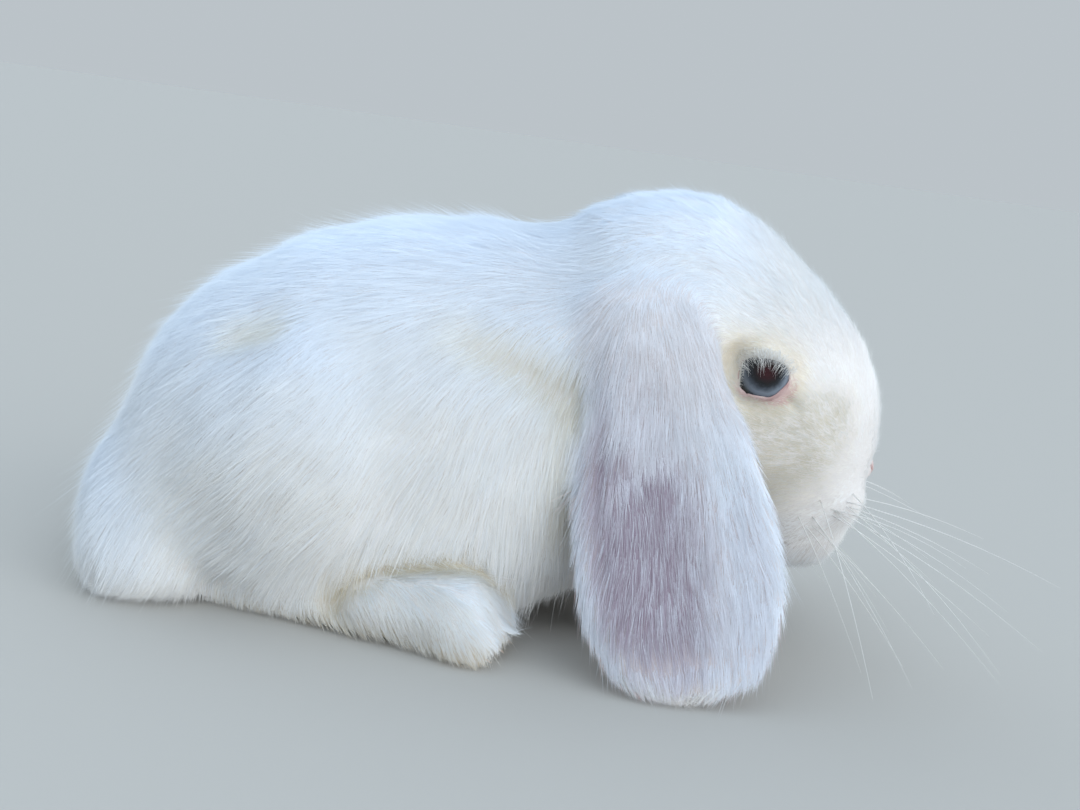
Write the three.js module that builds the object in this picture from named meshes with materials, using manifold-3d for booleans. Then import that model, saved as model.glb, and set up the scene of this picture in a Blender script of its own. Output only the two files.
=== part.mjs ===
// A lop rabbit at rest, life size: a small lop crouched on its belly with its chin tucked, its
// head carried low and both ears hanging to the floor.
// Millimetres, +X towards the head, +Y to the animal's left, +Z up. Every solid reaches out to the
// tips of the coat. The body is lofted whole and then parted with thin cuts.
import * as THREE from "three";
import { mergeVertices } from "three/addons/utils/BufferGeometryUtils.js";
import Module from "manifold-3d";

const wasm = await Module();
wasm.setup();

// ---- driving dimensions -------------------------------------------------------------------
const GAP = 0.35; // between neighbouring pieces
const NAPE_CUT = { x: -8, z: 110, tilt: 59 }; // between trunk and neck; tilt in degrees
const HEAD_CUT = { x: 7, z: 118, tilt: 59 }; // between neck and head
const FLANK_EXPONENT = 3.6; // how squarely the flanks turn under the belly
const EYE = { centre: [58.6, 28, 81.2], radius: 8.6 }; // left side; the right is its mirror
const EYE_OPENING = [8.2, 6, 6.8]; // half sizes of the hollow in the coat in front of the eye
const EAR_CLEARANCE = 0.5; // from the floor to the ear's tip
const EAR_ARCH = 4.5; // how far the middle of the ear's paddle stands out from its edges
const EAR_ROLL = 5.5; // how far its rear edge rolls outwards
const WHISKER_RADII = [0.45, 0.28]; // at the root and at the tip

// A section is x, y, z of its centre, its height above and below that, its half width and the
// exponent of its superellipse.
const trunkRow = (x, top, bottom, half) => {
  const middle = bottom + (top - bottom) * 0.44;
  return [x, 0, middle, top - middle, middle - bottom, half, 2.2];
};
const TRUNK = [
  trunkRow(-116, 39, 10, 23),
  trunkRow(-108, 55, 2, 34),
  trunkRow(-96, 74, -2, 44),
  trunkRow(-80, 92, -3, 50.5),
  trunkRow(-60, 104.5, -3, 52.5),
  trunkRow(-38, 112, -3, 52.5),
  trunkRow(-14, 114.5, 0, 51),
  trunkRow(10, 112, 3, 47),
  trunkRow(28, 88, 7, 40),
  trunkRow(41, 66, 14, 31),
];
// The same, then the climb of the head's axis in degrees and the fullness of the cheeks.
const HEAD = [
  [0, 0, 75.5, 42.5, 38, 38, 2.2, 0, 0.15],
  [16, 0, 80, 48, 39, 36, 2.2, -6, 0.25],
  [32, 0, 83, 48, 41, 35.5, 2.2, -16, 0.34],
  [48, 0, 79, 42.5, 42, 35.5, 2.15, -31, 0.36],
  [58, 0, 70, 41.5, 38, 34.5, 2.05, -45, 0.34],
  [66, 0, 60, 39.5, 32, 30.5, 1.95, -58, 0.28],
  [73, 0, 51, 32, 25, 25, 1.95, -70, 0.16],
  [78, 0, 41, 23, 18, 19.5, 2.05, -78, 0.06],
  [82, 0, 31, 16.5, 13, 14, 2.1, -86, 0],
];
const SNOUT = { centre: [93, 0, 42], halves: [23, 26, 26] }; // the muzzle is the head within it
const LIP = { centre: [89.5, 7.5, 44.5], halves: [12, 9.5, 11] };
const CHIN = { centre: [84, 0, 30], halves: [10, 10.5, 9] };
const NOSE = { centre: [99.6, 0, 53.5], halves: [4.6, 6, 4.8] };
const WHISKER_BED = { centre: [91, 15, 44], halves: [7, 3.5, 7] };
const HAUNCH = { centre: [-63, 32, 43], halves: [41, 26, 46] };
// The outline at which the thigh parts from the trunk, and how far in the cut goes.
const THIGH_CUT = { x: -65, z: 42, wide: 37, high: 47, inner: 12, outer: 90 };

// The long hind foot lies on the floor from the heel under the haunch to the toes.
const soleRow = (x, y, height, half) => [x, y, height * 0.42, height * 0.58, height * 0.5, half, 2.5];
const HIND_FOOT = [
  soleRow(-88, 31, 15, 10),
  soleRow(-62, 37.5, 19, 12),
  soleRow(-40, 43, 25, 15),
  soleRow(-24, 46.5, 27, 17),
  soleRow(-14, 48.5, 22, 17),
];
const HIND_TOES = { count: 4, spread: 8.8, halves: [11, 4.2, 8.5], at: [-12, 49, 7.5], yaw: 13 };
const FORELEG = [
  [14, 27, 32, 12, 14, 12, 2.1],
  [25, 26, 20, 11, 12, 11, 2.2],
  [37, 24, 11, 9.5, 11.5, 10, 2.3],
];
const FORE_PAW = [
  [41.5, 22.8, 7, 8.4, 8, 9.2, 2.4],
  [50, 20.6, 6.5, 8.6, 8, 10.6, 2.4],
  [58, 19, 5.4, 7, 7, 10.4, 2.4],
];
const FORE_TOES = { count: 4, spread: 5.4, halves: [8, 2.5, 5.4], at: [60, 18.6, 4.6], yaw: -10 };
// The ear hangs from the side of the crown, opens like a trough and ends in a round paddle.
const EAR = [
  [24, 20, 103, 8, 8, 12, 2.2],
  [24.5, 33, 95.5, 9, 8, 16.5, 2.3],
  [27, 42.5, 81, 7.5, 6.5, 18.5, 2.4],
  [31.5, 50.5, 62, 5.2, 4.6, 24, 2.4],
  [36.2, 58.5, 42, 4.4, 4.2, 27.6, 2.4],
  [40.5, 66.5, 23, 4.2, 4.2, 27.4, 2.4],
  [43.3, 71.8, EAR_CLEARANCE + 9.7, 4, 4, 21.5, 2.3],
];
// The tail hangs from the rump to the floor and leans to the right.
const TAIL = [
  [-101, -8, 46, 13, 13, 15, 2.1],
  [-105, -19, 34, 19, 18, 21, 2.1],
  [-104.5, -29, 20, 20, 19, 23, 2.1],
  [-103, -35, 5, 18, 16, 21, 2.1],
];
// Each whisker's degrees outwards, degrees below the horizontal, length and droop.
const WHISKERS = [
  [16, 4, 62, 6],
  [26, 14, 64, 7],
  [12, 22, 54, 5],
  [34, 26, 60, 6],
  [50, 18, 58, 8],
  [64, 26, 52, 5],
  [86, 22, 66, 6],
];

// ---- surfaces -----------------------------------------------------------------------------
const SIDEWAYS = new THREE.Vector3(0, 1, 0);
const LENGTHWAYS = new THREE.Vector3(1, 0, 0);
const radians = THREE.MathUtils.degToRad;

// One row of a table of equal rows, read at t rows from its start, on a Catmull-Rom spline.
function rowAt(rows, t) {
  const i = Math.min(Math.floor(t), rows.length - 2);
  const f = t - i;
  const at = (k) => rows[Math.max(0, Math.min(rows.length - 1, k))];
  return rows[i].map((_, c) => {
    const [a, b, d, e] = [at(i - 1)[c], at(i)[c], at(i + 1)[c], at(i + 2)[c]];
    return b + 0.5 * f * (d - a + f * (2 * a - 5 * b + 4 * d - e + f * (3 * (b - d) + e - a)));
  });
}

// The cosine or sine v of the angle round a superellipse of exponent p, squared off.
const squared = (v, p) => Math.sign(v) * Math.abs(v) ** (2 / p);

// The section of a limb.
function limbSection(cos, sin, { up, down, half, p }) {
  return [half * squared(cos, p), (sin > 0 ? up : down) * squared(sin, p)];
}

// The head's section is widened below by the fullness of the cheeks.
function headSection(cos, sin, sizes) {
  const [across, upwards] = limbSection(cos, sin, sizes);
  return [across * (1 + sizes.cheek * Math.max(0, -sin)), upwards];
}

// The trunk's section is full and square below, where the flanks hang to the floor.
function trunkSection(cos, sin, sizes) {
  return limbSection(cos, sin, { ...sizes, p: sin > 0 ? sizes.p : FLANK_EXPONENT });
}

// The ear's section is a thin plate that arches outwards and rolls out along its rear edge.
function earSection(cos, sin, { up, down, half, p }) {
  const across = squared(cos, p);
  const open = THREE.MathUtils.smoothstep(half, 17, 25);
  const arch = EAR_ARCH * Math.cos((across * Math.PI) / 2);
  const roll = EAR_ROLL * THREE.MathUtils.smoothstep(-across, 0.62, 1.1);
  return [half * across, (sin > 0 ? up : down) * squared(sin, p) + open * (arch + roll)];
}

// Triangles over a stack of equal rings of points, closed to a point at each end.
function skinOver(start, rings, end) {
  const sides = rings[0].length;
  const points = [start, ...rings.flat(), end];
  const at = (r, j) => 1 + r * sides + (j % sides);
  const faces = [];
  for (let j = 0; j < sides; j++) {
    faces.push(0, at(0, j + 1), at(0, j));
    for (let r = 0; r + 1 < rings.length; r++) {
      faces.push(at(r, j), at(r, j + 1), at(r + 1, j));
      faces.push(at(r, j + 1), at(r + 1, j + 1), at(r + 1, j));
    }
    faces.push(points.length - 1, at(rings.length - 1, j), at(rings.length - 1, j + 1));
  }
  const flat = points.flatMap((point) => point.toArray());
  const geometry = new THREE.BufferGeometry();
  geometry.setAttribute("position", new THREE.Float32BufferAttribute(flat, 3));
  geometry.setIndex(faces);
  return geometry;
}

// A closed skin over the sections of a table, steps of them to a row, with a round cap of its own
// depth on each end. A section faces along the path of the centres, or by its row's climb if the
// table states one. grow makes every size that much larger.
function loft(rows, { side = SIDEWAYS, sides = 12, steps = 1, caps, capRings = 2,
  section = limbSection, grow = 0 }) {
  const last = rows.length - 1;
  // The ring of the section t rows along, shrunk to share and moved beyond along its facing.
  const ringAt = (t, share, beyond) => {
    const [x, y, z, up, down, half, p, climb, cheek] = rowAt(rows, t);
    const ahead = new THREE.Vector3();
    if (climb === undefined) {
      const before = new THREE.Vector3(...rowAt(rows, Math.max(0, t - 0.01)).slice(0, 3));
      const after = new THREE.Vector3(...rowAt(rows, Math.min(last, t + 0.01)).slice(0, 3));
      ahead.subVectors(after, before).normalize();
    } else {
      ahead.set(Math.cos(radians(climb)), 0, Math.sin(radians(climb)));
    }
    const across = side.clone().addScaledVector(ahead, -side.dot(ahead)).normalize();
    const upwards = new THREE.Vector3().crossVectors(ahead, across);
    const sizes = { up: up + grow, down: down + grow, half: half + grow, p, cheek };
    const centre = new THREE.Vector3(x, y, z).addScaledVector(ahead, beyond);
    return Array.from({ length: sides }, (_, j) => {
      const angle = (2 * Math.PI * j) / sides;
      const [s, u] = section(Math.cos(angle), Math.sin(angle), sizes);
      return centre.clone().addScaledVector(across, s * share).addScaledVector(upwards, u * share);
    });
  };
  const capRing = (t, depth, k) => {
    const angle = (Math.PI / 2) * (k / capRings);
    return ringAt(t, Math.cos(angle), depth * Math.sin(angle));
  };
  const between = Array.from({ length: capRings - 1 }, (_, k) => k + 1);
  const rings = [
    ...between.map((k) => capRing(0, -caps[0] - grow, capRings - k)),
    ...Array.from({ length: last * steps + 1 }, (_, k) => ringAt(k / steps, 1, 0)),
    ...between.map((k) => capRing(last, caps[1] + grow, k)),
  ];
  return skinOver(ringAt(0, 0, -caps[0] - grow)[0], rings, ringAt(last, 0, caps[1] + grow)[0]);
}

// An ellipsoid of three half sizes, turned about Z and then moved.
function ellipsoid({ centre, halves }, { grow = 0, yaw = 0, around = 12, down = 7 } = {}) {
  return new THREE.SphereGeometry(1, around, down)
    .scale(halves[0] + grow, halves[1] + grow, halves[2] + grow)
    .rotateZ(radians(yaw))
    .translate(...centre);
}

// ---- joining and cutting ------------------------------------------------------------------
function solid(geometry) {
  const bare = geometry.clone();
  bare.deleteAttribute("normal");
  bare.deleteAttribute("uv");
  const merged = mergeVertices(bare, 1e-4);
  const made = new wasm.Manifold(
    new wasm.Mesh({
      numProp: 3,
      vertProperties: new Float32Array(merged.attributes.position.array),
      triVerts: new Uint32Array(merged.index.array),
    }),
  );
  if (made.volume() >= 0) return made;
  const turned = Array.from(merged.index.array);
  for (let i = 0; i < turned.length; i += 3)
    [turned[i], turned[i + 1]] = [turned[i + 1], turned[i]];
  return solid(merged.setIndex(turned));
}

function geometryOf(body) {
  const mesh = body.getMesh();
  const points = new Float32Array(mesh.numVert * 3);
  for (let i = 0; i < mesh.numVert; i++)
    points.set(mesh.vertProperties.subarray(i * mesh.numProp, i * mesh.numProp + 3), i * 3);
  return new THREE.BufferGeometry()
    .setAttribute("position", new THREE.BufferAttribute(points, 3))
    .setIndex(new THREE.BufferAttribute(new Uint32Array(mesh.triVerts), 1));
}

const joined = (bodies) => bodies.reduce((a, b) => a.add(b));
const cutBy = (body, tools) => tools.reduce((rest, tool) => rest.subtract(tool), body);
const mirrored = (body) => solid(geometryOf(body).scale(1, -1, 1));

// The largest connected body, so that a cut leaves no slivers.
const largest = (body) => body.decompose().reduce((a, b) => (a.volume() > b.volume() ? a : b));

// Turns a maker of a left piece into a maker of the left and the right one.
const both = (make) => (grow) => [make(grow), mirrored(make(grow))];

// A block that fills all that lies behind a plane through x, z whose forward normal is tilted
// from straight up towards the head.
const BLOCK = 600;
function blockBehind({ x, z, tilt }, shift) {
  const angle = radians(tilt);
  const forward = new THREE.Vector3(Math.sin(angle), 0, Math.cos(angle));
  const centre = new THREE.Vector3(x, 0, z).addScaledVector(forward, shift - BLOCK / 2);
  const box = new THREE.BoxGeometry(BLOCK, BLOCK, BLOCK).rotateY(angle - Math.PI / 2);
  return solid(box.translate(centre.x, centre.y, centre.z));
}
const ground = solid(new THREE.BoxGeometry(BLOCK, BLOCK, BLOCK).translate(0, 0, -BLOCK / 2));
const onFloor = (body) => body.subtract(ground);

// ---- whole forms --------------------------------------------------------------------------
// A foot with a row of rounded toes side by side across its end.
function foot(rows, { count, spread, halves, at, yaw }, options) {
  const turn = radians(yaw);
  const bodies = [solid(loft(rows, options))];
  for (let i = 0; i < count; i++) {
    const across = (i - (count - 1) / 2) * spread;
    const back = 0.19 * Math.abs(across); // the outer toes sit further back
    const centre = [
      at[0] - back * Math.cos(turn) - across * Math.sin(turn),
      at[1] - back * Math.sin(turn) + across * Math.cos(turn),
      at[2],
    ];
    const toe = ellipsoid({ centre, halves }, { grow: options.grow, yaw, around: 6, down: 4 });
    bodies.push(solid(toe));
  }
  return joined(bodies);
}
const hindFeet = both((grow) => foot(HIND_FOOT, HIND_TOES, { caps: [6, 5], sides: 10, grow }));
const forePaws = both((grow) => foot(FORE_PAW, FORE_TOES, { caps: [3, 5], sides: 10, grow }));
const forelegs = both((grow) => solid(loft(FORELEG, { caps: [9, 4], sides: 8, grow })));
const ears = both((grow) => solid(loft(EAR,
  { side: LENGTHWAYS, caps: [4, 9], sides: 16, steps: 2, section: earSection, grow })));
const tailOf = (grow) => solid(loft(TAIL,
  { side: LENGTHWAYS, caps: [6, 9], sides: 12, steps: 2, grow }));

const eyes = both((grow) =>
  solid(new THREE.SphereGeometry(EYE.radius + grow, 12, 8).translate(...EYE.centre)));
const eyeHollows = both(() => {
  const [x, y, z] = EYE.centre;
  const hollow = { centre: [x, y + EYE.radius + 1, z], halves: EYE_OPENING };
  return solid(ellipsoid(hollow, { around: 10, down: 6 }));
});
const thighPlugs = both((grow) => {
  const { x, z, wide, high, inner, outer } = THIGH_CUT;
  const plug = new THREE.CylinderGeometry(1, 1, outer - inner + 2 * grow, 14);
  return solid(plug.scale(wide + grow, 1, high + grow).translate(x, (inner + outer) / 2, z));
});
const whiskerBeds = both((grow) => solid(ellipsoid(WHISKER_BED, { grow, around: 6, down: 4 })));
const snoutOf = (grow) => solid(ellipsoid(SNOUT, { grow }));
const noseOf = (grow) => solid(ellipsoid(NOSE, { grow, around: 10, down: 5 }));

// A bed's whiskers, fanned from forwards to sideways, each a thin rod that droops.
const whiskerFans = both(() => joined(WHISKERS.map(([out, below, length, droop], i) => {
  const [yaw, fall] = [radians(out), radians(below)];
  const towards = new THREE.Vector3(
    Math.cos(yaw) * Math.cos(fall), Math.sin(yaw) * Math.cos(fall), -Math.sin(fall));
  const root = new THREE.Vector3(...WHISKER_BED.centre);
  root.z += 3 - i;
  const rows = [0, 0.5, 1].map((t) => {
    const at = root.clone().addScaledVector(towards, length * t);
    const radius = THREE.MathUtils.lerp(...WHISKER_RADII, t);
    return [at.x, at.y, at.z - droop * t * t, radius, radius, radius, 2];
  });
  return solid(loft(rows, { sides: 4, caps: [0.5, 0.5], capRings: 1 }));
})));

const whole = onFloor(joined([
  solid(loft(TRUNK, { caps: [9, 11], sides: 20, capRings: 3, section: trunkSection })),
  solid(loft(HEAD, { caps: [16, 11], sides: 18, steps: 2, capRings: 2, section: headSection })),
  ...both(() => solid(ellipsoid(HAUNCH, { around: 14, down: 8 })))(0),
  ...both(() => solid(ellipsoid(LIP)))(0),
  solid(ellipsoid(CHIN)),
]));

// ---- parting ------------------------------------------------------------------------------
const half = GAP / 2;
const limbTools = [
  ...hindFeet(GAP), ...forelegs(GAP), ...forePaws(GAP), ...ears(GAP), tailOf(GAP),
];
const trunk = largest(cutBy(
  whole.intersect(blockBehind(NAPE_CUT, -half)), [...limbTools, ...thighPlugs(GAP)]));
const neck = largest(cutBy(
  whole.subtract(blockBehind(NAPE_CUT, half)).intersect(blockBehind(HEAD_CUT, -half)), limbTools));
const face = whole.subtract(blockBehind(HEAD_CUT, half));
const head = largest(cutBy(face, [snoutOf(GAP), ...limbTools, ...eyes(GAP), ...eyeHollows(0)]));
const muzzle = largest(cutBy(face.intersect(snoutOf(0)), [noseOf(GAP), ...whiskerBeds(GAP)]));
const thighs = thighPlugs(0).map((plug) => largest(cutBy(whole.intersect(plug), limbTools)));
const feet = hindFeet(0).map((body) => largest(onFloor(body.subtract(tailOf(GAP)))));
const paws = forePaws(0).map((body) => largest(onFloor(body)));
const legs = forelegs(0).map((body, i) => largest(onFloor(body.subtract(forePaws(GAP)[i]))));
const tail = largest(onFloor(tailOf(0)));
const whiskers = whiskerBeds(0).map((bed, i) => largest(bed.add(whiskerFans(0)[i])));

// ---- materials and the group --------------------------------------------------------------
const finish = (name, color, roughness) =>
  new THREE.MeshStandardMaterial({ name, color, roughness, metalness: 0 });
const WHITE_COAT = finish("white_coat", "#f3f0ea", 0.9);
const EAR_COAT = finish("ear_coat", "#e5dadb", 0.85);
const FOOT_COAT = finish("foot_coat", "#efe9db", 0.9);
const EYE_GLOSS = finish("blue_grey_eye", "#4c5568", 0.08);
const WHISKER_HORN = finish("whisker_horn", "#f4f2ee", 0.45);
const NOSE_SKIN = finish("nose_skin", "#e6bdb6", 0.6);

const rabbit = new THREE.Group();
function addPiece(name, body, material) {
  const mesh = new THREE.Mesh(geometryOf(body), material);
  mesh.name = name;
  rabbit.add(mesh);
}
addPiece("trunk", trunk, WHITE_COAT);
addPiece("neck", neck, WHITE_COAT);
addPiece("head", head, WHITE_COAT);
addPiece("muzzle", muzzle, WHITE_COAT);
addPiece("nose", noseOf(0), NOSE_SKIN);
addPiece("tail", tail, WHITE_COAT);
const paired = [
  ["ear", ears(0), EAR_COAT],
  ["eye", eyes(0), EYE_GLOSS],
  ["haunch", thighs, WHITE_COAT],
  ["hind_foot", feet, FOOT_COAT],
  ["foreleg", legs, WHITE_COAT],
  ["fore_paw", paws, FOOT_COAT],
  ["whiskers", whiskers, WHISKER_HORN],
];
for (const [name, [left, right], material] of paired) {
  addPiece(`${name}_left`, left, material);
  addPiece(`${name}_right`, right, material);
}

// The origin is on the floor under the middle of the whole outline.
const outline = new THREE.Box3().setFromObject(rabbit);
const middle = outline.getCenter(new THREE.Vector3());
rabbit.position.set(-middle.x, -middle.y, -outline.min.z);

export default rabbit;
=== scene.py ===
"""A lop rabbit crouching on a plain floor: one skin, its coat of tufts, eyes, whiskers and claws."""
import math

import bmesh
import bpy
import numpy as np
from mathutils import Matrix, Vector
from mathutils.bvhtree import BVHTree
from mathutils.kdtree import KDTree


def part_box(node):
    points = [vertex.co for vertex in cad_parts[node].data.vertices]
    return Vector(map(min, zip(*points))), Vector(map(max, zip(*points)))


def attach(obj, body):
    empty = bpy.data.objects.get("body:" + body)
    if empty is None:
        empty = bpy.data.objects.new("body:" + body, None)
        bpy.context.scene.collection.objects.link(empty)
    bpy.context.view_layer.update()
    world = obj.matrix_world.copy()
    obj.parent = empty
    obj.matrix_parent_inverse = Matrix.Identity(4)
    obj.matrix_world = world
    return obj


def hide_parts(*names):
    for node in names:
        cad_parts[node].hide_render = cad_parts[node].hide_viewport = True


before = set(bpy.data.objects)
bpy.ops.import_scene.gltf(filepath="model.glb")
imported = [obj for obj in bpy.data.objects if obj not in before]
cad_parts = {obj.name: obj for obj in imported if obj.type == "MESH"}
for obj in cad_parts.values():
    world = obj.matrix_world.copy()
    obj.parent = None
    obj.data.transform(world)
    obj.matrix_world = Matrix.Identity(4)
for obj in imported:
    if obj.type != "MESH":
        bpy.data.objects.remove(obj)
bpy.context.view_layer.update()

# ---- Skin ---------------------------------------------------------------------------------
# The rabbit's own hide, one surface from nose to tail: the fleshy solids fused and smoothed,
# then drawn in by the depth that the coat has on each of them.
MM = 0.001
VOXEL = 1.5  # mm, fine enough for the ears' rims
SOLE = 0.6  # mm, how low the hide lies over the floor
SWELL = 0.45  # mm, which closes the thin cuts between neighbouring solids
PAIRS = ("ear", "haunch", "hind_foot", "foreleg", "fore_paw")
FLESH = ["trunk", "neck", "head", "muzzle", "nose", "tail"]
FLESH += [f"{part}_{side}" for part in PAIRS for side in ("left", "right")]
COAT_DEPTH = {"trunk": 1.5, "neck": 2.2, "head": 0.5, "muzzle": 0.4, "nose": 0.3, "tail": 2.4,
              "ear": 0.8, "haunch": 1.8, "hind_foot": 1.8, "foreleg": 2.0, "fore_paw": 1.4}
SMOOTHNESS = {"muzzle": 0.35, "nose": 0.12, "ear": 0.5, "hind_foot": 0.35, "fore_paw": 0.25}
EYE_RADIUS = 8.6
EYE_BED = 9.3  # mm, the ball that holds the hide out round each eye
PAD = (7.6, 3.9, 7.6)  # mm, half sizes of the fleshy bed of the whiskers
STEADY = 0.52  # of each smoothing step taken back, so that the form doesn't shrink
low, high = (np.array(corner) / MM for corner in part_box("eye_left"))
EYE = (low + high) / 2  # centre of the left eyeball
BODY = EYE - np.array([58.6, 28.0, 81.2])  # the body's own zero, under the shoulders
WHISKER_BED = BODY + np.array([91.0, 15.0, 44.0])
NOSE = BODY + np.array([101.0, 0.0, 53.5])


def unit(vectors):
    """Each vector divided by its own length."""
    return vectors / np.maximum(np.linalg.norm(vectors, axis=-1, keepdims=True), 1e-9)


def ease(low, high, value):
    """0 up to low, 1 from high on, and 3t^2 - 2t^3 between."""
    t = np.clip((value - low) / (high - low), 0, 1)
    return t * t * (3 - 2 * t)


def ball(centre, halves, around=24, down=14):
    """Centre + halves * (cos a sin b, sin a sin b, cos b): rings of an ellipsoid and its faces."""
    a = np.arange(around) * 2 * np.pi / around
    b = np.arange(1, down) * np.pi / down
    a, b = np.meshgrid(a, b)
    rings = np.stack([np.cos(a) * np.sin(b), np.sin(a) * np.sin(b), np.cos(b)], -1).reshape(-1, 3)
    points = np.concatenate([rings, [[0, 0, 1], [0, 0, -1]]]) * halves + centre
    j = np.arange(around)
    k = (j + 1) % around
    row = (np.arange(down - 2) * around)[:, None]
    quads = np.stack([row + j, row + around + j, row + around + k, row + k], -1).reshape(-1, 4)
    last = (down - 2) * around
    top = np.stack([np.full(around, len(rings)), j, k], -1)
    bottom = np.stack([np.full(around, len(rings) + 1), last + k, last + j], -1)
    return points, quads.tolist() + top.tolist() + bottom.tolist()


def solid_of(node):
    """A solid's points, its points moved out by the swell, and its triangles, with doubles merged."""
    work = bmesh.new()
    work.from_mesh(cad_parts[node].data)
    bmesh.ops.remove_doubles(work, verts=work.verts, dist=1e-6)
    work.normal_update()
    points = np.array([v.co[:] for v in work.verts]) / MM
    swollen = points + np.array([v.normal[:] for v in work.verts]) * SWELL
    faces = [[v.index for v in f.verts] for f in work.faces]
    work.free()
    return points, swollen, faces


def part_of(node):
    """The name of a paired or single part, without its side."""
    return node.replace("_left", "").replace("_right", "")


plain, fused, plain_faces, fused_faces, owners = [], [], [], [], []
for number, node in enumerate(FLESH):
    points, swollen, faces = solid_of(node)
    start = sum(map(len, fused))
    plain.append(points)
    fused.append(swollen)
    plain_faces += [[i + start for i in f] for f in faces]
    owners += [number] * len(faces)
fused_faces = list(plain_faces)
for side in (1, -1):
    for centre, halves in ((EYE, EYE_BED), (WHISKER_BED, PAD)):
        points, faces = ball(centre * (1, side, 1), np.array(halves) * np.ones(3))
        start = sum(map(len, fused))
        fused.append(points)
        fused_faces += [[i + start for i in f] for f in faces]

clay = bpy.data.meshes.new("clay")
clay.from_pydata((np.concatenate(fused) * MM).tolist(), [], fused_faces)
lump = bpy.data.objects.new("clay", clay)
bpy.context.scene.collection.objects.link(lump)
remesh = lump.modifiers.new("fuse", "REMESH")
remesh.mode = "VOXEL"
remesh.voxel_size = VOXEL * MM
remesh.adaptivity = 0
shape = bmesh.new()
shape.from_mesh(lump.evaluated_get(bpy.context.evaluated_depsgraph_get()).data)
bpy.data.objects.remove(lump)

# Only the outer shell is kept, and the face is given four or more faces for one.
seen = set()
shells = []
shape.verts.ensure_lookup_table()
for start in shape.verts:
    if start.index in seen:
        continue
    seen.add(start.index)
    shell = [start]
    for vert in shell:
        for edge in vert.link_edges:
            other = edge.other_vert(vert)
            if other.index not in seen:
                seen.add(other.index)
                shell.append(other)
    shells.append(shell)
shells.sort(key=len)
for shell in shells[:-1]:
    bmesh.ops.delete(shape, geom=shell, context="VERTS")
for spots, reach in (((EYE, EYE * (1, -1, 1)), 15), ((NOSE,), 13), ((NOSE - [0, 0, 2],), 8)):
    edges = {edge for edge in shape.edges for spot in spots
             if (edge.verts[0].co / MM - Vector(spot)).length < reach}
    bmesh.ops.subdivide_edges(shape, edges=list(edges), cuts=1, use_grid_fill=True)
bmesh.ops.triangulate(shape, faces=shape.faces)
shape.verts.index_update()
skin = np.array([v.co[:] for v in shape.verts]) / MM
triangles = np.array([[v.index for v in f.verts] for f in shape.faces])
shape.free()
edges = np.unique(np.sort(triangles[:, [0, 1, 1, 2, 2, 0]].reshape(-1, 2), axis=1), axis=0)
ends = np.concatenate([edges, edges[:, ::-1]])
degree = np.bincount(ends[:, 0], minlength=len(skin))


def around(values):
    """The mean of each vertex's neighbours, for a scalar or vector field."""
    flat = values.reshape(len(values), -1)
    sums = [np.bincount(ends[:, 0], flat[ends[:, 1], k], len(values)) for k in range(flat.shape[1])]
    return (np.stack(sums, -1) / degree[:, None]).reshape(values.shape)


def spread(values, passes):
    """A field smoothed by passes of v -> (v + mean of neighbours) / 2."""
    for _ in range(passes):
        values = (values + around(values)) / 2
    return values


def normals_of(points):
    """Unit sums of the areas of the triangles at each vertex."""
    a, b, c = points[triangles[:, 0]], points[triangles[:, 1]], points[triangles[:, 2]]
    areas = np.cross(b - a, c - a)
    sums = [np.bincount(triangles.ravel(), np.repeat(areas[:, k], 3), len(points)) for k in range(3)]
    return unit(np.stack(sums, -1))


solids = BVHTree.FromPolygons(np.concatenate(plain).tolist(), plain_faces)
owner = np.array([owners[solids.find_nearest(point)[2]] for point in skin.tolist()])
part = np.array([part_of(node) for node in FLESH])[owner]
firm = spread(np.array([SMOOTHNESS.get(name, 1.0) for name in part]), 6)[:, None]
for _ in range(70):
    skin = skin + 0.5 * firm * (around(skin) - skin)
    skin = skin - STEADY * firm * (around(skin) - skin)
x, y, z = (skin - BODY).T
# The back is one long even curve, so it is smoothed much further than the rest.
even = np.isin(part, ("trunk", "neck", "haunch")) * ease(48, 66, z) * ease(26, 8, x)
even = spread(even, 4)[:, None]
for _ in range(150):
    skin = skin + 0.6 * even * (around(skin) - skin)
# Loose hide bridges the valleys beside the tail, under an ear's root and behind the lips.
by_tail = np.isin(part, ("tail", "trunk", "haunch")) * ease(-72, -86, x) * ease(14, 26, z)
by_ears = np.isin(part, ("ear", "head", "neck")) * ease(82, 96, z)
by_mouth = np.isin(part, ("muzzle", "head")) * ease(76, 84, x) * ease(5, 9, np.abs(y))
bridged = spread(np.maximum(np.maximum(by_tail, by_ears), by_mouth), 4)
for turn in range(160):
    if turn % 10 == 0:
        normal = normals_of(skin)
    rise = np.sum((around(skin) - skin) * normal, 1)
    skin = skin + normal * (np.maximum(rise, 0) * bridged)[:, None]
depth = np.array([COAT_DEPTH[name] for name in part]) + 1.4 * (part == "head") * ease(90, 118, z)
depth = spread(depth, 12)
normal = unit(spread(normals_of(skin), 3))
nearest = np.array([solids.find_nearest(point)[0][:] for point in skin.tolist()])
height = np.clip(np.sum((skin - nearest) * normal, 1), -4, 4)
# Smoothing drew the form in, so it is set back to its depth, over a wide area at a time.
settle = spread(np.where(bridged > 0.3, SWELL, height), 30)
skin = skin - normal * (depth + settle)[:, None]
skin = spread(skin, 1)
# The rump and the whisker beds are smoothed further.
rump = ease(-96, -108, x) * ease(14, 26, z) * ease(70, 58, z)
to_left = np.stack([1 + 0 * y, np.sign(y), 1 + 0 * y], -1)
from_bed = np.linalg.norm(skin * to_left - WHISKER_BED, axis=1)
rounded = spread(np.maximum(rump, 0.5 * ease(13, 8, from_bed)), 3)[:, None]
for _ in range(60):
    skin = skin + 0.5 * rounded * (around(skin) - skin)
skin[:, 2] = np.maximum(skin[:, 2], SOLE)

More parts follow.
